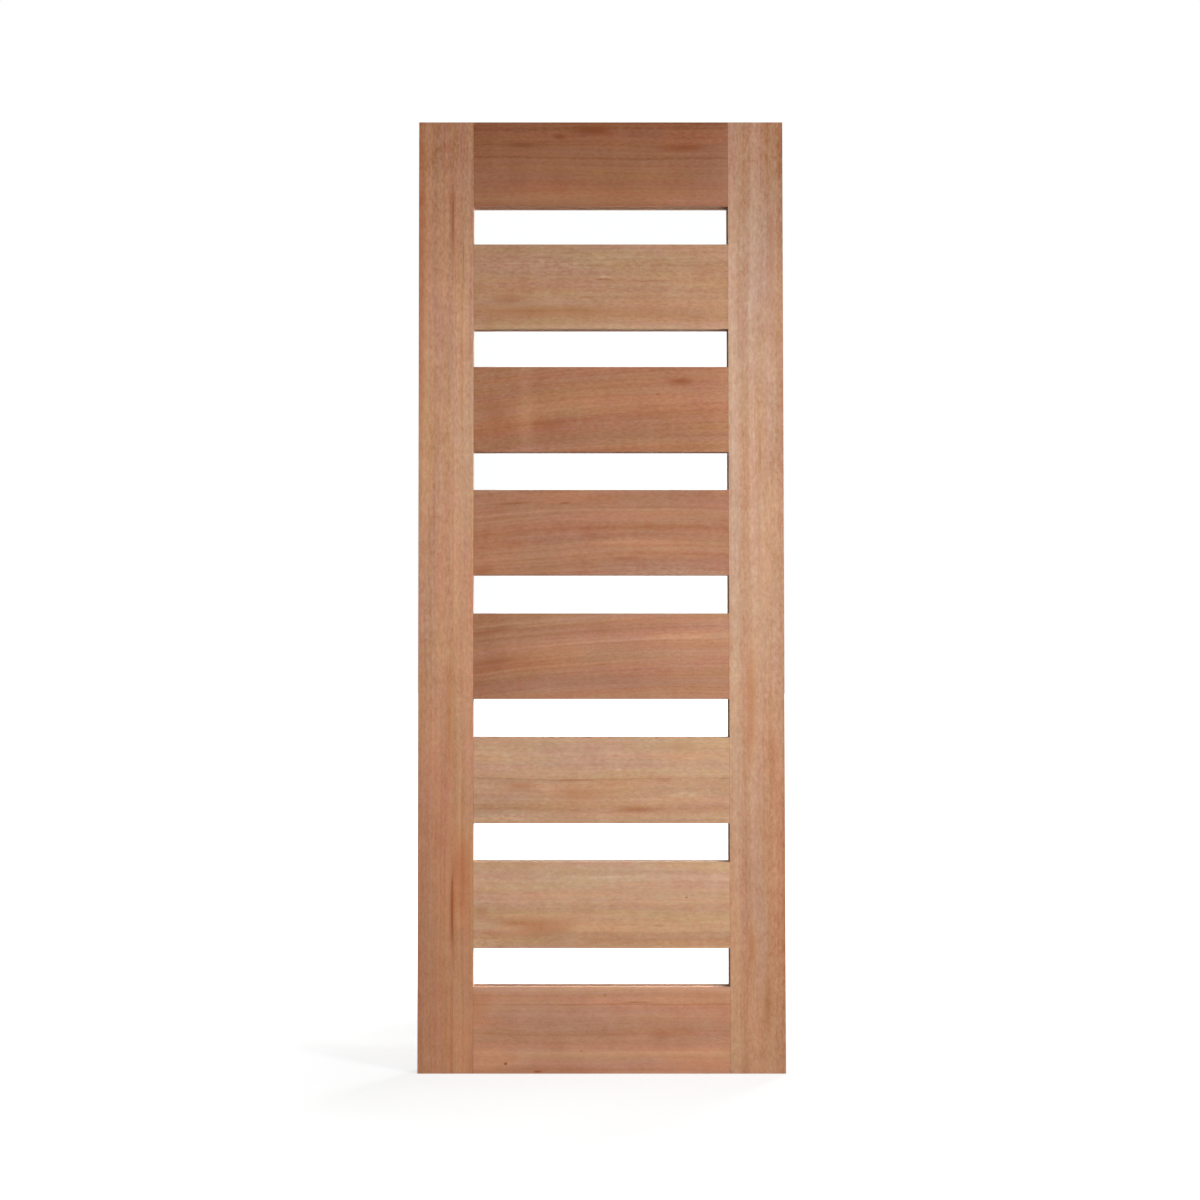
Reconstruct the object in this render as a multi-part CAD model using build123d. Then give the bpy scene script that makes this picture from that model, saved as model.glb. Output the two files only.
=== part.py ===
from build123d import *
import os

# A glazed hardwood door leaf: two stiles, eight rails and seven narrow lights.
# Millimetres. X runs across the width, Y through the thickness, Z upwards.
# The origin lies on the outer edge face of the left stile, at the bottom of
# the leaf and at mid-thickness. The show face looks towards -Y, and the beads
# that hold the glass are on the +Y face.

# Driving dimensions
LEAF_WIDTH = 762.0
LEAF_HEIGHT = 1981.0
LEAF_THICKNESS = 44.0
STILE_WIDTH = 115.0
RAIL_HEIGHT = 178.0
LIGHT_COUNT = 7

# Rebates and glass
LIP_THICKNESS = 15.0        # wood left standing in front of the glass
REBATE_WIDTH = 12.0         # how far the rebate reaches past the sight line
GLASS_THICKNESS = 6.0
GLASS_EDGE_CLEARANCE = 2.0  # from the edge of a pane to the wall of its rebate

# Glazing beads
BEAD_CLEARANCE = 0.2        # between a bead and the wall of its rebate
MITRE_GAP = 0.2             # what each mitred end is cut short
BEAD_CHAMFER = 3.0          # on the edge of a bead beside the light

# Twin tenons with a haunch between them
TENON_THICKNESS = 14.0
TENON_LENGTH = 64.0
TENON_HEIGHT = 48.0
HAUNCH_HEIGHT = 30.0
HAUNCH_LENGTH = 12.0
TENON_CLEARANCE = 0.15      # at the cheeks and edges of a tenon
MORTISE_END_ROOM = 2.0      # left for glue behind the end of a tenon

# Edges that hands touch
OUTER_ARRIS = 1.0           # radius along the outer long edges of the stiles
SIGHT_ARRIS = 0.8           # radius along the front edges of every light

# Levels and faces that follow from those sizes
RAIL_COUNT = LIGHT_COUNT + 1
LIGHT_HEIGHT = (LEAF_HEIGHT - RAIL_COUNT * RAIL_HEIGHT) / LIGHT_COUNT
PITCH = RAIL_HEIGHT + LIGHT_HEIGHT
FRONT_Y = -LEAF_THICKNESS / 2
BACK_Y = LEAF_THICKNESS / 2
LIP_Y = FRONT_Y + LIP_THICKNESS
BEAD_Y = LIP_Y + GLASS_THICKNESS
LEFT_SIGHT = STILE_WIDTH
RIGHT_SIGHT = LEAF_WIDTH - STILE_WIDTH
LEFT_WALL = LEFT_SIGHT - REBATE_WIDTH
RIGHT_WALL = RIGHT_SIGHT + REBATE_WIDTH


def block(x_span, y_span, z_span):
    """A box between two values on each axis."""
    size = [span[1] - span[0] for span in (x_span, y_span, z_span)]
    corner = (x_span[0], y_span[0], z_span[0])
    return Pos(*corner) * Box(*size, align=(Align.MIN, Align.MIN, Align.MIN))


def mirrored(shape):
    """The same shape on the other side of the leaf's centre line."""
    return mirror(shape, about=Plane.YZ.offset(LEAF_WIDTH / 2))


def rail_bottom(index):
    """Height of the lower edge of a rail, counted from 0 at the bottom of the leaf."""
    return index * PITCH


def tenons(z_middle, side_room, end_room):
    """Two tenons and the haunch between them, at the left end of a rail.

    With no room they are the tenons. With room they are the mortise that takes them.
    """
    y_span = (LIP_Y - side_room, LIP_Y + TENON_THICKNESS + side_room)
    tip = LEFT_WALL - TENON_LENGTH - end_room
    haunch_tip = LEFT_WALL - HAUNCH_LENGTH - end_room
    half_haunch = HAUNCH_HEIGHT / 2
    shape = block((haunch_tip, LEFT_WALL), y_span, (z_middle - half_haunch, z_middle + half_haunch))
    for direction in (-1, 1):
        near = z_middle + direction * (half_haunch - side_room)
        far = z_middle + direction * (half_haunch + TENON_HEIGHT + side_room)
        shape += block((tip, LEFT_WALL), y_span, (min(near, far), max(near, far)))
    return shape


def stile_arris(index):
    """What sandpaper takes off the front corner of the left stile beside one light."""
    corner = Pos(LEFT_SIGHT - SIGHT_ARRIS, FRONT_Y) * Rectangle(SIGHT_ARRIS, SIGHT_ARRIS, align=Align.MIN)
    corner -= Pos(LEFT_SIGHT - SIGHT_ARRIS, FRONT_Y + SIGHT_ARRIS) * Circle(SIGHT_ARRIS)
    return Pos(0, 0, rail_bottom(index) + RAIL_HEIGHT) * extrude(corner, amount=LIGHT_HEIGHT)


def left_stile():
    """A full-height post, rebated from the back along its inner edge and mortised for each rail.

    Its front edge is eased beside the lights only, so that the shoulders of the rails close on a square edge.
    """
    post = block((0, STILE_WIDTH), (FRONT_Y, BACK_Y), (0, LEAF_HEIGHT))
    outer_edges = post.edges().filter_by(Axis.Z).sort_by(Axis.X)[:2]
    post = fillet(outer_edges, OUTER_ARRIS)
    post -= block((LEFT_WALL, LEFT_SIGHT), (LIP_Y, BACK_Y), (0, LEAF_HEIGHT))
    for index in range(RAIL_COUNT):
        z_middle = rail_bottom(index) + RAIL_HEIGHT / 2
        post -= tenons(z_middle, TENON_CLEARANCE, MORTISE_END_ROOM)
    for index in range(LIGHT_COUNT):
        post -= stile_arris(index)
    return post


def rail(index):
    """A rail with a short front shoulder and a long back shoulder.

    The long shoulder fills the rebate of the stile, and an edge beside a light is rebated too.
    """
    z_low = rail_bottom(index)
    z_high = z_low + RAIL_HEIGHT
    back_low = z_low + (REBATE_WIDTH if index > 0 else 0)
    back_high = z_high - (REBATE_WIDTH if index < RAIL_COUNT - 1 else 0)
    shape = block((LEFT_SIGHT, RIGHT_SIGHT), (FRONT_Y, LIP_Y), (z_low, z_high))
    front_edges = shape.edges().filter_by(Axis.X).sort_by(Axis.Y)[:2].sort_by(Axis.Z)
    beside_light = front_edges[0 if index > 0 else 1: 2 if index < RAIL_COUNT - 1 else 1]
    shape = fillet(beside_light, SIGHT_ARRIS)
    shape += block((LEFT_WALL, RIGHT_WALL), (LIP_Y, BACK_Y), (back_low, back_high))
    left_tenons = tenons((z_low + z_high) / 2, 0, 0)
    return shape + left_tenons + mirrored(left_tenons)


def glass_pane(z_low, z_high):
    """A pane held between the lip of the rebate and the beads."""
    reach = REBATE_WIDTH - GLASS_EDGE_CLEARANCE
    return block(
        (LEFT_SIGHT - reach, RIGHT_SIGHT + reach),
        (LIP_Y, BEAD_Y),
        (z_low - reach, z_high + reach),
    )


def bead(wall_length):
    """A mitred bead along X, centred, with its wall side on Z = 0 and the light above it."""
    width = REBATE_WIDTH - BEAD_CLEARANCE
    half = wall_length / 2 - BEAD_CLEARANCE - MITRE_GAP
    outline = Polyline((-half, 0), (half, 0), (half - width, width), (width - half, width), close=True)
    face = Plane.XZ * make_face(outline)
    shape = Pos(0, BACK_Y, 0) * extrude(face, amount=BACK_Y - BEAD_Y)
    sight_edge = shape.edges().filter_by(Axis.X).sort_by(lambda edge: edge.center().Y + edge.center().Z)[-1]
    return chamfer(sight_edge, BEAD_CHAMFER)


def light_beads(z_low, z_high):
    """The four beads round one light, each turned about Y to face the middle of the light."""
    across = RIGHT_WALL - LEFT_WALL
    upright = z_high - z_low + 2 * REBATE_WIDTH
    x_middle = LEAF_WIDTH / 2
    z_middle = (z_low + z_high) / 2
    seat = BEAD_CLEARANCE
    return {
        "bottom": Pos(x_middle, 0, z_low - REBATE_WIDTH + seat) * bead(across),
        "top": Pos(x_middle, 0, z_high + REBATE_WIDTH - seat) * Rot(0, 180, 0) * bead(across),
        "left": Pos(LEFT_WALL + seat, 0, z_middle) * Rot(0, 90, 0) * bead(upright),
        "right": Pos(RIGHT_WALL - seat, 0, z_middle) * Rot(0, -90, 0) * bead(upright),
    }


def rail_name(index):
    """Rails are counted from the bottom."""
    if index == 0:
        return "bottom_rail"
    if index == RAIL_COUNT - 1:
        return "top_rail"
    return f"cross_rail_{index}"


def door_leaf():
    """Every piece of the leaf under its name."""
    stile = left_stile()
    pieces = {"left_stile": stile, "right_stile": mirrored(stile)}
    for index in range(RAIL_COUNT):
        pieces[rail_name(index)] = rail(index)
    for index in range(LIGHT_COUNT):
        z_low = rail_bottom(index) + RAIL_HEIGHT
        z_high = rail_bottom(index + 1)
        pieces[f"glass_pane_{index + 1}"] = glass_pane(z_low, z_high)
        for side, shape in light_beads(z_low, z_high).items():
            pieces[f"bead_{side}_{index + 1}"] = shape
    return pieces


os.makedirs("parts", exist_ok=True)
for name, shape in door_leaf().items():
    export_step(shape, f"parts/{name}.step")
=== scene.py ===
import math
from dataclasses import dataclass

import bpy
import numpy as np
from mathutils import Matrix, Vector


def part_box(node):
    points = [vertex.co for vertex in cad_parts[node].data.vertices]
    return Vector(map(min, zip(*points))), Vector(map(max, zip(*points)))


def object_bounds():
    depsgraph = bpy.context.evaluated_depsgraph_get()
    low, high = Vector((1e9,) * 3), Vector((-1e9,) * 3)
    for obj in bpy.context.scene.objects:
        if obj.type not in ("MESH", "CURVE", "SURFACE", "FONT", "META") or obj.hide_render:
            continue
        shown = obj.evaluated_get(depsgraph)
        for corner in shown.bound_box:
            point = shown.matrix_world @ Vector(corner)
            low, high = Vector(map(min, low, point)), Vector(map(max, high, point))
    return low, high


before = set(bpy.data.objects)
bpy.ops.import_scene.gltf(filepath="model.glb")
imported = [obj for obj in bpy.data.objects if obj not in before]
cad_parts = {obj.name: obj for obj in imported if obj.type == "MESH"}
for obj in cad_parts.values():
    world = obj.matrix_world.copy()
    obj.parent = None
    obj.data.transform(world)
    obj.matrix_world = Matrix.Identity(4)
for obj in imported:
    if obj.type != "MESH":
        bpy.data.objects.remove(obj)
cad_low, cad_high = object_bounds()

# Places on the leaf, in metres, read from its pieces
FACE_Y = cad_low.y
BACK_Y = cad_high.y
LEAF_WIDTH = cad_high.x
LEAF_HEIGHT = cad_high.z
STILE_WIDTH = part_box("left_stile")[1].x
RAIL_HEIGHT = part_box("bottom_rail")[1].z
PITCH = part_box("cross_rail_1")[0].z
RIGHT_SIGHT = LEAF_WIDTH - STILE_WIDTH
LIP_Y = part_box("glass_pane_1")[0].y
BEAD_WIDTH = STILE_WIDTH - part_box("bead_left_1")[0].x

# The camera stands square to the show face, a little low and to the left, and looks slightly up
EYE_DISTANCE = 4.4
EYE_HEIGHT = 0.90
EYE_X = 0.25
UPWARD_LOOK = math.radians(2.0)
LENS = 63.4
FRAME_SHIFT = (0.0514, -0.03)
FAR_CLIP = 200.0

# A white studio, where the shadow of the leaf stays on the floor round it
WHITE = (1.0, 1.0, 1.0, 1.0)
AMBIENT_STRENGTH = 0.12     # of the light from all round that falls on the leaf
FLOOR_SPAN = 60.0
FLOOR_COLOUR = (0.60, 0.60, 0.60, 1.0)
FLOOR_GLOW = 1.50           # keeps the floor white where part of it shows as lit
LIT_SHARE = 0.50            # how much of the floor near the leaf shows as lit
LIT_REACH = (0.5, 1.6)      # distances from the leaf over which that share fades out


@dataclass
class Softbox:
    """A square lamp, with a grid that narrows its light to a spread."""

    power: float
    size: float
    place: tuple
    target: tuple
    spread: float = math.pi


# The key light comes from the right. The last two are for the back and the top of the leaf.
SOFTBOXES = {
    "key_softbox": Softbox(
        power=22.4, size=0.6, place=(2.65, -2.32, 1.75), target=(0.48, 0.0, 1.05), spread=math.radians(90.0)
    ),
    "fill_softbox": Softbox(power=46.0, size=2.4, place=(1.25, -4.2, 1.3), target=(0.38, 0.0, 1.0)),
    "back_softbox": Softbox(power=190.0, size=1.4, place=(2.8, 4.2, 1.6), target=(0.38, 0.0, 0.95)),
    "top_softbox": Softbox(power=60.0, size=1.0, place=(0.38, 0.0, 4.8), target=(0.38, 0.0, 0.0)),
}


@dataclass
class Board:
    """How one board looks. Lengths are in metres from the middle of its length and from its lower
    or left edge, and strengths are shares of its tone, with dark marks below zero."""

    tone: tuple                 # mean colour on a screen, 0 to 255
    seed: float                 # moves the board to another part of the log
    upright: bool = False       # a stile's grain runs up, a rail's runs across
    edge: float = 0.0           # place of the board's lower or left edge on the leaf
    inner_side: float = 0.0     # a stile's edge beside the rails, counted from its left edge
    slope: float = 0.0          # rise of the grain lines at the middle
    arch: float = 0.0           # how fast that slope falls off along the board
    ribbon: float = 0.40        # broad stripes of interlocked grain
    streak: float = 0.32        # narrow stripes
    fleck: float = 0.40         # short dashes
    mottle: float = 0.25        # clouds across the grain
    bands_and_shade: tuple = ()           # (place across, half width, strength) along the whole board; some are painted shade or painted highlight
    drift_and_shade: tuple = ()           # (place along, half length, strength) over the whole width; on the stiles, painted shade towards the ends and painted light above the middle
    marks: tuple = ()           # (place along, half length, place across, half width, strength)
    warmth: tuple = ()          # the same five, towards orange above zero and towards grey below it
    calm: float = 0.0           # share of the dashes lost towards the bottom of a stile
    colouring: float = 1.0      # how much the hue changes over the board
    strip: float = 0.0          # width of a strip glued to the inner side
    pinned: bool = False        # a bead, with the heads of its pins on the back and no shoulders


@dataclass
class Pattern:
    """The lengths of one grain of a pattern, in metres, and how finely it is broken up."""

    along: float
    across: float
    through: float
    detail: float = 2.0
    roughness: float = 0.5


PORES = Pattern(0.0075, 0.00055, 0.00055)
FLECKS = Pattern(0.0115, 0.0052, 0.0060, roughness=0.60)
STREAKS = Pattern(0.55, 0.0056, 0.012, roughness=0.55)
RIBBONS = Pattern(0.80, 0.0180, 0.035, roughness=0.55)
CLOUDS = Pattern(0.050, 0.060, 0.080, detail=3.0, roughness=0.55)
BROAD_HUES = Pattern(0.30, 0.022, 0.040)
FINE_HUES = Pattern(0.0150, 0.0085, 0.0100)
WANDERING = Pattern(0.35, 0.090, 0.150, detail=1.0)

# Colours of the timber. Red, green and blue follow a change of tone by different shares, because pale
# timber is yellower and dark timber redder.
TONE_SHIFT = (0.60, 1.0, 1.26)
TONE_SPAN = 0.60
WARM_TINT = (1.03, 1.03, 0.93, 1.0)
COOL_TINT = (0.97, 0.97, 1.07, 1.0)
ROSE_TINT = (1.045, 0.965, 1.0, 1.0)
GREEN_TINT = (0.955, 1.035, 1.0, 1.0)
BROAD_HUE = 2.1             # strength of the broad changes between those tints
FINE_HUE = 1.3              # strength of the fine ones
ROSE_OFFSET = 1.7           # takes rose and green from another depth of the log than warm and cool
ROSE_SHARE = 0.6            # how much of a warm mark is pink and not yellow
UPPER_TINT = (0.970, 1.000, 1.037, 1.0)
LOWER_TINT = (1.034, 0.996, 0.955, 1.0)
TINT_REACH = 0.99           # height above and below the middle where upright timber has those two

# How the patterns are laid
SEED_STRIDE = 7.0           # metres along the log for a step of 1 in the seed
WANDER = 0.016              # how far the grain lines stray
CALM_SPAN = (0.1, -0.6)     # heights from the middle of a stile between which its dashes grow calm
FLECK_RAGGEDNESS = 2.5      # how much the dashes and stripes break up a mark
STREAK_RAGGEDNESS = 2.0
MARK_STRAY = 0.03           # how far the clouds push the ends of a mark
PORE_RIM = (0.34, 0.16)     # distances from the middle of a pore, in cells, where it starts and is full
PORE_TONE = 0.26
END_GRAIN_FACING = (0.6, 0.9)   # how squarely a face cuts the grain where end grain starts and is full
END_GRAIN_TONE = 0.22

# Hairlines at the shoulders, dark for their glue and as painted shade in the gap, and the strip glued to a
# stile
JOINT_WIDTH = 0.0009
JOINT_GLUE_AND_SHADE = 0.28
LIP_BLUR = 0.0005
RAIL_EDGE_BLUR = 0.0001
STRIP_EDGE_BLUR = 0.0004
STRIP_TONE = 0.05
STRIP_SHIFT = 0.7           # depth in the log between the strip and the rest of the stile

# Finish of bare sanded timber
ROUGHNESS = 0.72
STREAK_ROUGHNESS = 0.20
PORE_ROUGHNESS = 0.12
SPECULAR = 0.10
RELIEF_DEPTH = 0.00012      # metres for a height of 1
SKIN_LEVEL = 0.8
GRAIN_RELIEF = 0.25
PORE_RELIEF = 0.6

# Beads, and the pins that hold them
BEAD_TONE = (178, 130, 101)
BEAD_SEED = 4.4
BEAD_MIDDLE = 0.0060        # how far a bead's middle is from the sight line
PIN_RIM = (0.00108, 0.00081)    # distances from the middle of a head where it starts and is full
PIN_SPACING = 0.160
UPRIGHT_PIN_SPACING = 0.056
PIN_COLOUR = (0.060, 0.040, 0.030, 1.0)
BACK_SKIN = 0.0004          # depth below the back where a pin head is gone

# Colour of the glass, and of the light that falls through it
GLASS_COLOUR = (0.992, 1.0, 0.996, 1.0)
GLASS_SHADOW = (0.93, 0.96, 0.94, 1.0)


def linear(srgb):
    """The linear colour of a screen colour given as 0 to 255."""
    shares = [value / 255 for value in srgb]
    return [s / 12.92 if s <= 0.04045 else ((s + 0.055) / 1.055) ** 2.4 for s in shares]


class Value:
    """A quantity that varies over a surface. Arithmetic on it adds Math nodes."""

    def __init__(self, recipe, socket):
        self.recipe = recipe
        self.socket = socket

    def __add__(self, other):
        return self.recipe.maths("ADD", self, other)

    def __sub__(self, other):
        return self.recipe.maths("SUBTRACT", self, other)

    def __rsub__(self, other):
        return self.recipe.maths("SUBTRACT", other, self)

    def __mul__(self, other):
        return self.recipe.maths("MULTIPLY", self, other)

    def __truediv__(self, other):
        return self.recipe.maths("DIVIDE", self, other)

    def __abs__(self):
        return self.recipe.maths("ABSOLUTE", self)

    __radd__ = __add__
    __rmul__ = __mul__


class Recipe:
    """The nodes of one material, or of the world, written as expressions."""

    def __init__(self, owner):
        self.owner = owner
        owner.use_nodes = True
        self.tree = owner.node_tree
        self.tree.nodes.clear()

    def node(self, kind, settings, inputs, output=0):
        """One node: its settings first, then a value or a link for each socket."""
        made = self.tree.nodes.new(kind)
        for key, setting in settings.items():
            setattr(made, key, setting)
        for key, content in inputs.items():
            if isinstance(content, Value):
                self.tree.links.new(content.socket, made.inputs[key])
            else:
                made.inputs[key].default_value = content
        return Value(self, made.outputs[output])

    def outputs(self, value):
        """Every output of the node that a value came from."""
        return [Value(self, socket) for socket in value.socket.node.outputs]

    def close(self, shader, ending="ShaderNodeOutputMaterial"):
        """Ends the nodes with their shader, and gives back the material or world."""
        output = self.tree.nodes.new(ending)
        self.tree.links.new(shader.socket, output.inputs["Surface"])
        return self.owner

    def maths(self, operation, *terms):
        """One Math node on values and numbers."""
        return self.node("ShaderNodeMath", {"operation": operation}, dict(enumerate(terms)))

    def place(self):
        """X, Y and Z on the leaf, in metres."""
        coordinates = self.node("ShaderNodeTexCoord", {}, {}, "Object")
        return self.outputs(self.node("ShaderNodeSeparateXYZ", {}, {0: coordinates}))

    def stretched(self, u, v, w, pattern):
        """Coordinates in which one grain of a pattern is 1 long, wide and deep."""
        sockets = {0: u / pattern.along, 1: v / pattern.across, 2: w / pattern.through}
        return self.node("ShaderNodeCombineXYZ", {}, sockets)

    def noise(self, u, v, w, pattern):
        """Soft noise about zero."""
        sockets = {
            "Vector": self.stretched(u, v, w, pattern),
            "Scale": 1.0,
            "Detail": pattern.detail,
            "Roughness": pattern.roughness,
        }
        return self.node("ShaderNodeTexNoise", {"noise_dimensions": "3D"}, sockets) - 0.5

    def cells(self, u, v, w, pattern):
        """Distance from the nearest of many scattered points, in cells."""
        sockets = {"Vector": self.stretched(u, v, w, pattern), "Scale": 1.0}
        return self.node("ShaderNodeTexVoronoi", {"feature": "F1"}, sockets)

    def rise(self, value, low, high):
        """0 below low, 1 above high and a smooth rise between. With low above high it falls."""
        falls = low > high
        sockets = {0: value, 1: min(low, high), 2: max(low, high), 3: float(falls), 4: float(not falls)}
        return self.node("ShaderNodeMapRange", {"interpolation_type": "SMOOTHSTEP"}, sockets)

    def hump(self, value, middle, half_width):
        """1 at the middle, falling smoothly to 0 at half a width on each side."""
        return self.rise(abs(value - middle), half_width, 0.0)

    def distance(self, x, y):
        """The length of a step of X one way and Y square to it."""
        return self.maths("SQRT", x * x + y * y)

    def mix(self, share, first, second):
        """A colour that goes from the first to the second."""
        sockets = {0: share, 6: first, 7: second}
        return self.node("ShaderNodeMix", {"data_type": "RGBA", "clamp_factor": True}, sockets, 2)

    def tint(self, colour, shade):
        """A colour multiplied by another."""
        settings = {"data_type": "RGBA", "blend_type": "MULTIPLY"}
        return self.node("ShaderNodeMix", settings, {0: 1.0, 6: colour, 7: shade}, 2)

    def bump(self, height, depth):
        """A surface normal from a height, where 1 stands for a depth in metres."""
        return self.node("ShaderNodeBump", {}, {"Strength": 1.0, "Distance": depth, "Height": height})

    def unscattered(self, *kinds):
        """1 for rays of the given kinds that no matt surface has scattered, and 0 for all others."""
        light_path = self.node("ShaderNodeLightPath", {}, {})
        rays = {value.socket.name: value for value in self.outputs(light_path)}
        wanted = rays[kinds[0]]
        for kind in kinds[1:]:
            wanted = self.maths("MAXIMUM", wanted, rays[kind])
        return wanted * self.rise(rays["Diffuse Depth"], 1.0, 0.0)


def joint_glue_and_shade(recipe, board, along, across, y):
    """1 in the hairline where a rail's shoulder meets a stile, darkened for its glue and as painted shade
    in the gap.

    The shoulder is a bead's width further out behind the lip than in front.
    """
    set_out = recipe.rise(y, LIP_Y - LIP_BLUR, LIP_Y + LIP_BLUR) * BEAD_WIDTH
    if not board.upright:
        half_length = set_out + (RIGHT_SIGHT - LEAF_WIDTH / 2)
        return recipe.rise(half_length - abs(along), JOINT_WIDTH, 0.0)
    level = recipe.maths("WRAP", along + LEAF_HEIGHT / 2, PITCH, 0.0)
    beside_rail = recipe.rise(level, RAIL_HEIGHT + RAIL_EDGE_BLUR, RAIL_HEIGHT - RAIL_EDGE_BLUR)
    on_left_stile = board.inner_side > 0
    seam = board.inner_side - set_out if on_left_stile else set_out
    return recipe.rise(abs(across - seam), JOINT_WIDTH, 0.0) * beside_rail


def glued_strip(recipe, board, across):
    """1 on the strip glued to the inner side of a stile, and 0 elsewhere."""
    if not board.strip:
        return 0.0
    seam = board.inner_side - board.strip
    return recipe.rise(across, seam, seam + STRIP_EDGE_BLUR)


def end_grain(recipe, upright):
    """1 on the cut ends of the fibres."""
    geometry = recipe.node("ShaderNodeNewGeometry", {}, {}, "True Normal")
    x, _, z = recipe.outputs(recipe.node("ShaderNodeSeparateXYZ", {}, {0: geometry}))
    return recipe.rise(abs(z if upright else x), *END_GRAIN_FACING)


def pin_heads(recipe, board, x, y, z):
    """1 on the pin heads along the middle of each bead, on the back of the leaf."""
    level = recipe.maths("WRAP", z, PITCH, 0.0)
    if board.upright:
        to_pin = abs(abs(level - (RAIL_HEIGHT + PITCH) / 2) - UPRIGHT_PIN_SPACING / 2)
        to_middle = abs(abs(x - LEAF_WIDTH / 2) - (LEAF_WIDTH / 2 - STILE_WIDTH + BEAD_MIDDLE))
    else:
        to_pin = abs(recipe.maths("WRAP", x - LEAF_WIDTH / 2, PIN_SPACING, 0.0) - PIN_SPACING / 2)
        to_middle = abs(abs(level - RAIL_HEIGHT / 2) - (RAIL_HEIGHT / 2 - BEAD_MIDDLE))
    on_back = recipe.rise(y, BACK_Y - BACK_SKIN, BACK_Y - BACK_SKIN / 2)
    return recipe.rise(recipe.distance(to_pin, to_middle), *PIN_RIM) * on_back


def hue_drift(recipe, u, v, w, amount):
    """Broad and fine changes of hue, about one half."""
    broad = recipe.noise(u, v, w, BROAD_HUES)
    fine = recipe.noise(u, v, w, FINE_HUES)
    return 0.5 + broad * (BROAD_HUE * amount) + fine * (FINE_HUE * amount)


def patch(recipe, along, across, mark):
    """A soft oval mark, scaled by its strength."""
    place, half_length, middle, half_width, strength = mark
    return recipe.hump(along, place, half_length) * recipe.hump(across, middle, half_width) * strength


def tone_ends(tone):
    """The darkest and palest linear colours of a timber, equally far from its mean."""
    mean = linear(tone)
    dark = [m * (1 - TONE_SPAN * s) for m, s in zip(mean, TONE_SHIFT)] + [1.0]
    pale = [m * (1 + TONE_SPAN * s) for m, s in zip(mean, TONE_SHIFT)] + [1.0]
    return dark, pale


def tone_and_painted_shade(recipe, board, along, strayed, flow, ragged, near_face):
    """What the board's bands, drifts and marks add to its tone. On the stiles the drifts, and on the top
    and bottom rails some bands, are painted shade and light.
    """
    tone = 0.0
    for middle, half_width, strength in board.bands_and_shade:
        tone += recipe.hump(flow, middle, half_width) * strength
    for place, half_length, strength in board.drift_and_shade:
        tone += recipe.hump(along, place, half_length) * near_face * strength
    for mark in board.marks:
        tone += patch(recipe, strayed, flow, mark) * ragged
    return tone


def own_hues(recipe, board, strayed, u, flow, w, near_face):
    """How warm and how rosy the board is, from its drifts of hue and its own stains."""
    warm = hue_drift(recipe, u, flow, w, board.colouring)
    rosy = hue_drift(recipe, u, flow, w + ROSE_OFFSET, board.colouring)
    for mark in board.warmth:
        stain = patch(recipe, strayed, flow, mark) * near_face
        warm += stain
        rosy += stain * ROSE_SHARE
    return warm, rosy


def timber_colour(recipe, board, along, tone, warm, rosy):
    """The colour that a tone stands for, tinted by the hues, and by the height where the grain runs up."""
    dark, pale = tone_ends(board.tone)
    plain = recipe.mix(tone, dark, pale)
    warmed = recipe.tint(plain, recipe.mix(warm, COOL_TINT, WARM_TINT))
    colour = recipe.tint(warmed, recipe.mix(rosy, GREEN_TINT, ROSE_TINT))
    if not board.upright:
        return colour
    by_height = recipe.mix(recipe.rise(along, TINT_REACH, -TINT_REACH), UPPER_TINT, LOWER_TINT)
    return recipe.tint(colour, by_height)


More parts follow.
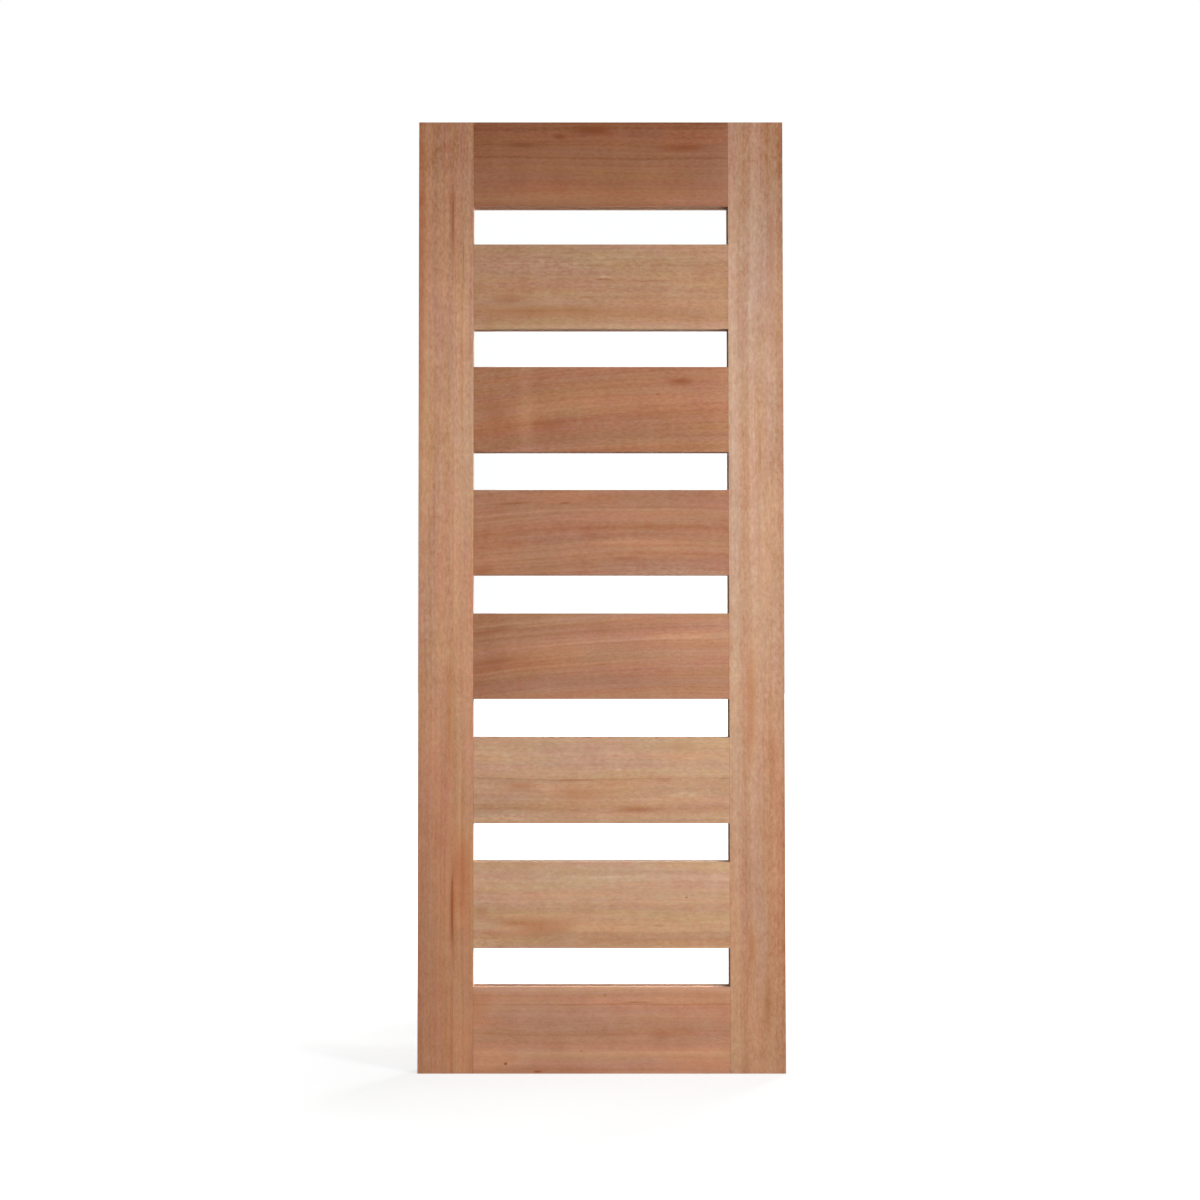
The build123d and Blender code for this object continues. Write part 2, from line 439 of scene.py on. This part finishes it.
def timber(name, board):
    """Bare sanded hardwood: ribbons, streaks, flecks, clouds and pores, and the board's own marks, with the
    painted shade and light that some of its bands and drifts carry.
    """
    recipe = Recipe(bpy.data.materials.new(name))
    x, y, z = recipe.place()
    along = z - LEAF_HEIGHT / 2 if board.upright else x - LEAF_WIDTH / 2
    across = (x if board.upright else z) - board.edge
    in_strip = glued_strip(recipe, board, across)

    # U and W place the board in the log, and flow counts across its grain lines
    u = along + board.seed * SEED_STRIDE
    w = y + board.seed + in_strip * STRIP_SHIFT
    wander = recipe.noise(u, across, w, WANDERING) * WANDER
    flow = across - along * board.slope + along * along * board.arch + wander

    ribbon = recipe.noise(u, flow, w, RIBBONS)
    streak = recipe.noise(u, flow, w, STREAKS)
    fleck = recipe.noise(u, flow, w, FLECKS)
    if board.calm:
        fleck = fleck * (1 - recipe.rise(along, *CALM_SPAN) * board.calm)
    mottle = recipe.noise(u, across, w, CLOUDS)
    pores = recipe.rise(recipe.cells(u, flow, w, PORES), *PORE_RIM)
    tone = 0.5 + ribbon * board.ribbon + streak * board.streak + fleck * board.fleck + mottle * board.mottle
    tone -= pores * PORE_TONE + end_grain(recipe, board.upright) * END_GRAIN_TONE
    tone += in_strip * STRIP_TONE
    # The hairlines at the shoulders: glue, and painted shade in the gap
    if not board.pinned:
        tone -= joint_glue_and_shade(recipe, board, along, across, y) * JOINT_GLUE_AND_SHADE

    # Drifts (on the stiles, painted shade and light), marks and stains fade out towards the back, which has
    # none of them
    near_face = recipe.rise(y, 0.0, FACE_Y)
    ragged = (1 + fleck * FLECK_RAGGEDNESS + streak * STREAK_RAGGEDNESS) * near_face
    strayed = along + mottle * MARK_STRAY
    tone += tone_and_painted_shade(recipe, board, along, strayed, flow, ragged, near_face)
    warm, rosy = own_hues(recipe, board, strayed, u, flow, w, near_face)

    colour = timber_colour(recipe, board, along, tone, warm, rosy)
    height = SKIN_LEVEL + (streak + fleck) * GRAIN_RELIEF - pores * PORE_RELIEF
    if board.pinned:
        heads = pin_heads(recipe, board, x, y, z)
        colour = recipe.mix(heads, colour, PIN_COLOUR)
        height -= heads
    skin = {
        "Base Color": colour,
        "Roughness": ROUGHNESS + streak * STREAK_ROUGHNESS + pores * PORE_ROUGHNESS,
        "Specular IOR Level": SPECULAR,
        "Normal": recipe.bump(height, RELIEF_DEPTH),
    }
    return recipe.close(recipe.node("ShaderNodeBsdfPrincipled", {}, skin))


BOARDS = {
    "top_rail": Board(
        tone=(152, 101, 73), seed=0.31, edge=7 * PITCH,
        ribbon=0.40, streak=0.36, fleck=0.50, mottle=0.25,
        # The first two bands are painted shade towards the top edge and painted light towards the lower
        # edge, as the light is weaker at the top of the leaf
        bands_and_shade=((0.178, 0.075, -0.18), (0.030, 0.050, 0.10), (0.104, 0.004, -0.12), (0.098, 0.004, 0.08)),
        drift_and_shade=((0.285, 0.090, 0.14),),
        marks=(
            (-0.085, 0.022, 0.148, 0.008, -0.32),
            (-0.016, 0.065, 0.160, 0.018, -0.24),
            (-0.158, 0.060, 0.131, 0.012, -0.20),
            (0.176, 0.090, 0.127, 0.014, -0.24),
            (0.17, 0.13, 0.012, 0.020, 0.10),
        ),
        warmth=(
            (0.17, 0.06, 0.127, 0.016, 0.4),
            (-0.15, 0.28, 0.025, 0.04, 0.5),
            (0.26, 0.14, 0.07, 0.13, -0.6),
            (0.09, 0.07, 0.150, 0.04, -0.7),
        ),
    ),
    "cross_rail_6": Board(
        tone=(177, 135, 104), seed=0.62, edge=6 * PITCH,
        ribbon=0.26, streak=0.30, fleck=0.54, mottle=0.30,
        bands_and_shade=((0.004, 0.012, 0.12),),
        marks=(
            (-0.12, 0.26, 0.038, 0.020, -0.22),
            (0.14, 0.20, 0.036, 0.018, -0.10),
            (-0.19, 0.05, 0.062, 0.018, -0.24),
            (-0.10, 0.24, 0.135, 0.030, 0.10),
            (0.005, 0.022, 0.104, 0.003, -0.40),
            (0.010, 0.020, 0.109, 0.003, 0.18),
            (-0.12, 0.040, 0.149, 0.004, -0.22),
            (0.10, 0.080, 0.101, 0.002, -0.30),
            (-0.03, 0.020, 0.066, 0.003, -0.25),
        ),
        warmth=((-0.10, 0.32, 0.036, 0.03, 0.6), (-0.05, 0.30, 0.138, 0.05, -0.5)),
    ),
    "cross_rail_5": Board(
        tone=(164, 114, 85), seed=0.97, edge=5 * PITCH, slope=0.075, arch=0.106,
        ribbon=0.30, streak=0.44, fleck=0.62, mottle=0.25,
        bands_and_shade=((0.105, 0.030, 0.10), (0.055, 0.045, -0.06)),
        marks=(
            (0.165, 0.040, 0.138, 0.010, -0.35),
            (-0.108, 0.055, 0.066, 0.030, -0.14),
            (-0.225, 0.045, 0.105, 0.045, -0.13),
            (-0.20, 0.10, 0.012, 0.030, 0.10),
            (0.119, 0.006, 0.114, 0.003, -0.40),
        ),
        drift_and_shade=((-0.158, 0.026, 0.12), (0.26, 0.05, 0.08)),
        warmth=(
            (0.0, 0.30, 0.105, 0.04, 0.4),
            (0.0, 0.34, 0.03, 0.03, -0.6),
            (-0.19, 0.10, 0.078, 0.03, 0.9),
        ),
    ),
    "cross_rail_4": Board(
        tone=(167, 118, 91), seed=1.28, edge=4 * PITCH, slope=0.030, arch=0.150,
        ribbon=0.36, streak=0.42, fleck=0.44, mottle=0.25, colouring=0.9,
        bands_and_shade=((0.098, 0.024, -0.10), (0.056, 0.020, 0.10), (0.136, 0.004, 0.12)),
        marks=(
            (-0.18, 0.060, 0.158, 0.005, -0.30),
            (-0.075, 0.020, 0.153, 0.004, -0.30),
            (0.050, 0.035, 0.031, 0.006, -0.20),
            (-0.25, 0.040, 0.022, 0.020, -0.18),
            (0.06, 0.12, 0.070, 0.014, 0.12),
            (0.15, 0.22, 0.008, 0.022, 0.12),
        ),
        warmth=(
            (0.07, 0.16, 0.068, 0.02, 0.6),
            (-0.24, 0.12, 0.06, 0.12, 0.6),
            (0.15, 0.24, 0.008, 0.03, -1.0),
            (0.12, 0.20, 0.165, 0.03, -0.6),
        ),
    ),
    "cross_rail_3": Board(
        tone=(171, 123, 95), seed=1.63, edge=3 * PITCH, slope=0.060, arch=0.130,
        ribbon=0.34, streak=0.42, fleck=0.40, mottle=0.25,
        bands_and_shade=((0.120, 0.025, 0.10), (0.060, 0.030, -0.04), (0.160, 0.004, -0.12), (0.172, 0.006, 0.12)),
        drift_and_shade=((-0.30, 0.25, -0.16), (0.28, 0.25, 0.08)),
        marks=(
            (-0.215, 0.090, 0.098, 0.011, -0.10),
            (-0.22, 0.110, 0.098, 0.026, -0.08),
            (-0.21, 0.060, 0.165, 0.010, -0.15),
            (0.16, 0.12, 0.122, 0.016, 0.14),
        ),
        warmth=(
            (0.16, 0.14, 0.12, 0.03, 0.5),
            (0.0, 0.3, 0.040, 0.03, -0.6),
            (-0.12, 0.14, 0.095, 0.05, 0.6),
        ),
    ),
    "cross_rail_2": Board(
        tone=(190, 149, 118), seed=1.94, edge=2 * PITCH,
        ribbon=0.28, streak=0.26, fleck=0.45, mottle=0.28,
        bands_and_shade=((0.140, 0.060, 0.08), (0.092, 0.0022, -0.18), (0.032, 0.018, -0.10)),
        marks=(
            (-0.060, 0.060, 0.0915, 0.005, -0.20),
            (0.130, 0.026, 0.089, 0.005, -0.18),
            (0.076, 0.060, 0.031, 0.0100, -0.20),
            (-0.170, 0.045, 0.078, 0.016, -0.22),
            (-0.040, 0.100, 0.060, 0.030, -0.14),
            (0.035, 0.010, 0.112, 0.012, 0.16),
            (-0.20, 0.10, 0.010, 0.016, 0.14),
            (0.17, 0.08, 0.160, 0.016, -0.12),
            (0.170, 0.050, 0.060, 0.008, 0.22),
        ),
        warmth=(
            (-0.05, 0.16, 0.060, 0.03, 0.6),
            (0.17, 0.08, 0.14, 0.03, 0.4),
            (-0.1, 0.2, 0.15, 0.04, -0.5),
        ),
    ),
    "cross_rail_1": Board(
        tone=(197, 154, 121), seed=2.27, edge=PITCH,
        ribbon=0.28, streak=0.24, fleck=0.38, mottle=0.30,
        bands_and_shade=((0.140, 0.060, 0.09), (0.020, 0.020, -0.14)),
        marks=(
            (-0.125, 0.095, 0.042, 0.024, -0.26),
            (-0.185, 0.060, 0.050, 0.016, -0.18),
            (-0.24, 0.06, 0.010, 0.020, 0.12),
            (0.120, 0.018, 0.047, 0.003, -0.25),
            (0.178, 0.004, 0.106, 0.003, -0.70),
            (-0.250, 0.020, 0.075, 0.020, -0.18),
            (0.0, 0.080, 0.148, 0.004, 0.08),
        ),
        warmth=(
            (0.05, 0.26, 0.040, 0.02, 0.4),
            (-0.15, 0.12, 0.045, 0.03, 0.5),
            (0.0, 0.4, 0.15, 0.05, -0.5),
        ),
    ),
    "bottom_rail": Board(
        tone=(194, 142, 112), seed=2.61,
        ribbon=0.32, streak=0.24, fleck=0.27, mottle=0.30, colouring=0.85,
        # The band at the top edge, 0.178, is a painted highlight of the lit ledge above the rail
        bands_and_shade=((0.090, 0.040, -0.10), (0.040, 0.022, 0.08), (0.178, 0.022, 0.14), (0.140, 0.003, -0.10)),
        marks=(
            (-0.196, 0.0055, 0.021, 0.0035, -1.40),
            (0.075, 0.045, 0.144, 0.003, -0.25),
            (-0.039, 0.004, 0.048, 0.003, -0.40),
            (0.009, 0.006, 0.160, 0.006, -0.22),
            (0.120, 0.035, 0.078, 0.012, -0.12),
            (-0.133, 0.012, 0.003, 0.004, -0.40),
            (-0.26, 0.05, 0.135, 0.040, -0.12),
            (-0.12, 0.20, 0.008, 0.020, -0.10),
        ),
        warmth=(
            (-0.25, 0.10, 0.03, 0.06, 0.9),
            (-0.27, 0.07, 0.13, 0.05, 0.8),
            (0.20, 0.11, 0.035, 0.04, 0.7),
            (-0.08, 0.2, 0.10, 0.05, -0.7),
        ),
    ),
    "left_stile": Board(
        tone=(192, 142, 110), seed=3.15, upright=True, inner_side=STILE_WIDTH, strip=0.042,
        ribbon=0.46, streak=0.30, fleck=0.67, mottle=0.32, calm=0.52,
        bands_and_shade=((0.0, 0.022, -0.07), (0.0727, 0.0016, -0.10)),
        # The drifts are painted shade: darker at the top end and over the lower part, lighter a little
        # above the middle
        drift_and_shade=((0.990, 0.42, -0.21), (0.34, 0.55, 0.09), (-0.55, 0.55, -0.085), (-0.990, 0.45, -0.04)),
        marks=(
            (0.770, 0.130, 0.0710, 0.0100, -0.22),
            (0.785, 0.095, 0.0722, 0.0050, -0.22),
            (0.700, 0.100, 0.096, 0.0020, -0.25),
            (-0.660, 0.135, 0.0710, 0.0110, -0.26),
            (-0.645, 0.100, 0.0724, 0.0055, -0.34),
            (-0.590, 0.130, 0.094, 0.030, -0.20),
            (0.550, 0.650, 0.0, 0.028, -0.16),
            (0.500, 0.250, 0.080, 0.012, 0.10),
            (-0.250, 0.180, 0.062, 0.010, -0.12),
        ),
        warmth=(
            (-0.590, 0.130, 0.094, 0.030, 1.9),
            (0.70, 0.55, 0.005, 0.028, 1.4),
            (-0.70, 0.40, 0.010, 0.040, -0.7),
            (0.0, 0.4, 0.03, 0.03, -0.3),
            (-0.920, 0.10, 0.085, 0.040, 0.7),
            (-0.250, 0.180, 0.062, 0.014, 0.6),
        ),
    ),
    "right_stile": Board(
        tone=(187, 147, 120), seed=3.84, upright=True, edge=RIGHT_SIGHT,
        ribbon=0.32, streak=0.22, fleck=0.60, mottle=0.30, calm=0.15, colouring=0.78,
        bands_and_shade=((0.010, 0.016, 0.12), (0.034, 0.016, -0.08), (0.052, 0.012, 0.06), (0.080, 0.020, -0.05),
               (0.113, 0.030, -0.18)),
        # The drifts are painted shade: darker at the top end and over the lower half, lighter in the upper
        # half
        drift_and_shade=((0.990, 0.42, -0.22), (0.62, 0.40, 0.04), (-0.60, 0.50, -0.055)),
        marks=(
            (-0.230, 0.180, 0.045, 0.016, -0.22),
            (-0.730, 0.070, 0.045, 0.012, -0.18),
            (-0.850, 0.110, 0.080, 0.014, -0.15),
            (-0.330, 0.140, 0.088, 0.012, -0.14),
            (0.350, 0.150, 0.055, 0.003, 0.20),
            (0.300, 0.100, 0.068, 0.003, -0.20),
            (0.720, 0.280, 0.090, 0.012, -0.16),
        ),
        warmth=(
            (-0.55, 0.45, 0.098, 0.035, 0.8),
            (-0.230, 0.180, 0.045, 0.020, 0.8),
            (-0.730, 0.080, 0.045, 0.016, 0.8),
            (0.15, 0.40, 0.012, 0.025, -0.7),
            (0.7, 0.3, 0.05, 0.05, -0.4),
            (-0.93, 0.25, 0.050, 0.080, 0.7),
            (-0.75, 0.30, 0.010, 0.025, 0.6),
        ),
    ),
}


def bead_timber(name, upright):
    """Planed bead stock with the grain along each bead."""
    return timber(name, Board(tone=BEAD_TONE, seed=BEAD_SEED, upright=upright, pinned=True))


def clear_glass():
    """Clear float glass that lets light through to the beads behind it."""
    recipe = Recipe(bpy.data.materials.new("clear_float_glass"))
    pane = {"Base Color": GLASS_COLOUR, "Roughness": 0.0, "IOR": 1.5, "Transmission Weight": 1.0}
    glass = recipe.node("ShaderNodeBsdfPrincipled", {}, pane)
    see_through = recipe.node("ShaderNodeBsdfTransparent", {}, {"Color": GLASS_SHADOW})
    shadow_ray = recipe.node("ShaderNodeLightPath", {}, {}, "Is Shadow Ray")
    return recipe.close(recipe.node("ShaderNodeMixShader", {}, {0: shadow_ray, 1: glass, 2: see_through}))


def finish_pieces():
    """Gives every piece of the leaf its own finish."""
    finishes = {name: timber(f"{name}_timber", board) for name, board in BOARDS.items()}
    finishes["glass_pane"] = clear_glass()
    finishes["bead_bottom"] = finishes["bead_top"] = bead_timber("level_bead_timber", upright=False)
    finishes["bead_left"] = finishes["bead_right"] = bead_timber("upright_bead_timber", upright=True)
    for name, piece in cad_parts.items():
        kind = name if name in finishes else name.rsplit("_", 1)[0]
        for slot in piece.material_slots:
            slot.material = finishes[kind]


def pale_floor():
    """Matt grey that the eye sees as white, except where part of it shows as lit round the leaf."""
    recipe = Recipe(bpy.data.materials.new("pale_floor"))
    matte = recipe.node("ShaderNodeBsdfDiffuse", {}, {"Color": FLOOR_COLOUR})
    white = recipe.node("ShaderNodeEmission", {}, {"Color": WHITE, "Strength": FLOOR_GLOW})
    x, y, _ = recipe.place()
    away = recipe.distance(x - LEAF_WIDTH / 2, y)
    plain = recipe.rise(away, *LIT_REACH) * LIT_SHARE + (1 - LIT_SHARE)
    share = recipe.unscattered("Is Camera Ray", "Is Transmission Ray") * plain
    return recipe.close(recipe.node("ShaderNodeMixShader", {}, {0: share, 1: matte, 2: white}))


def make_floor():
    """One wide flat square about the foot of the leaf."""
    half = FLOOR_SPAN / 2
    corners = np.array([[-half, -half, 0], [half, -half, 0], [half, half, 0], [-half, half, 0]])
    mesh = bpy.data.meshes.new("studio_floor")
    mesh.from_pydata(corners.tolist(), [], [(0, 1, 2, 3)])
    mesh.materials.append(pale_floor())
    floor = bpy.data.objects.new("studio_floor", mesh)
    bpy.context.scene.collection.objects.link(floor)


def make_world():
    """Weak light from all round, seen as plain white by the camera, in reflections and through the glass.

    Light that timber has scattered finds it weak, also behind the glass.
    """
    recipe = Recipe(bpy.data.worlds.new("white_studio"))
    seen = recipe.unscattered("Is Camera Ray", "Is Glossy Ray", "Is Transmission Ray")
    strength = seen * (1 - AMBIENT_STRENGTH) + AMBIENT_STRENGTH
    background = recipe.node("ShaderNodeBackground", {}, {"Color": WHITE, "Strength": strength})
    bpy.context.scene.world = recipe.close(background, "ShaderNodeOutputWorld")


def make_light(name, softbox):
    """Stands a softbox in the studio. Neither the camera nor the glass shows it."""
    data = bpy.data.lights.new(name, "AREA")
    data.shape = "SQUARE"
    data.size = softbox.size
    data.energy = softbox.power
    data.spread = softbox.spread
    lamp = bpy.data.objects.new(name, data)
    lamp.visible_camera = False
    lamp.visible_transmission = False
    lamp.location = softbox.place
    direction = Vector(softbox.target) - Vector(softbox.place)
    lamp.rotation_euler = direction.to_track_quat("-Z", "Y").to_euler()
    bpy.context.scene.collection.objects.link(lamp)


def make_camera():
    """The eye of the photograph: square to the leaf across, looking slightly up."""
    data = bpy.data.cameras.new("eye")
    data.lens = LENS
    data.shift_x, data.shift_y = FRAME_SHIFT
    data.clip_end = FAR_CLIP
    camera = bpy.data.objects.new("eye", data)
    bpy.context.scene.collection.objects.link(camera)
    camera.location = (EYE_X, FACE_Y - EYE_DISTANCE, EYE_HEIGHT)
    camera.rotation_euler = (math.pi / 2 + UPWARD_LOOK, 0.0, 0.0)
    bpy.context.scene.camera = camera


make_camera()
make_world()
for softbox_name, softbox in SOFTBOXES.items():
    make_light(softbox_name, softbox)
make_floor()
finish_pieces()
bpy.context.scene.view_settings.view_transform = "Standard"
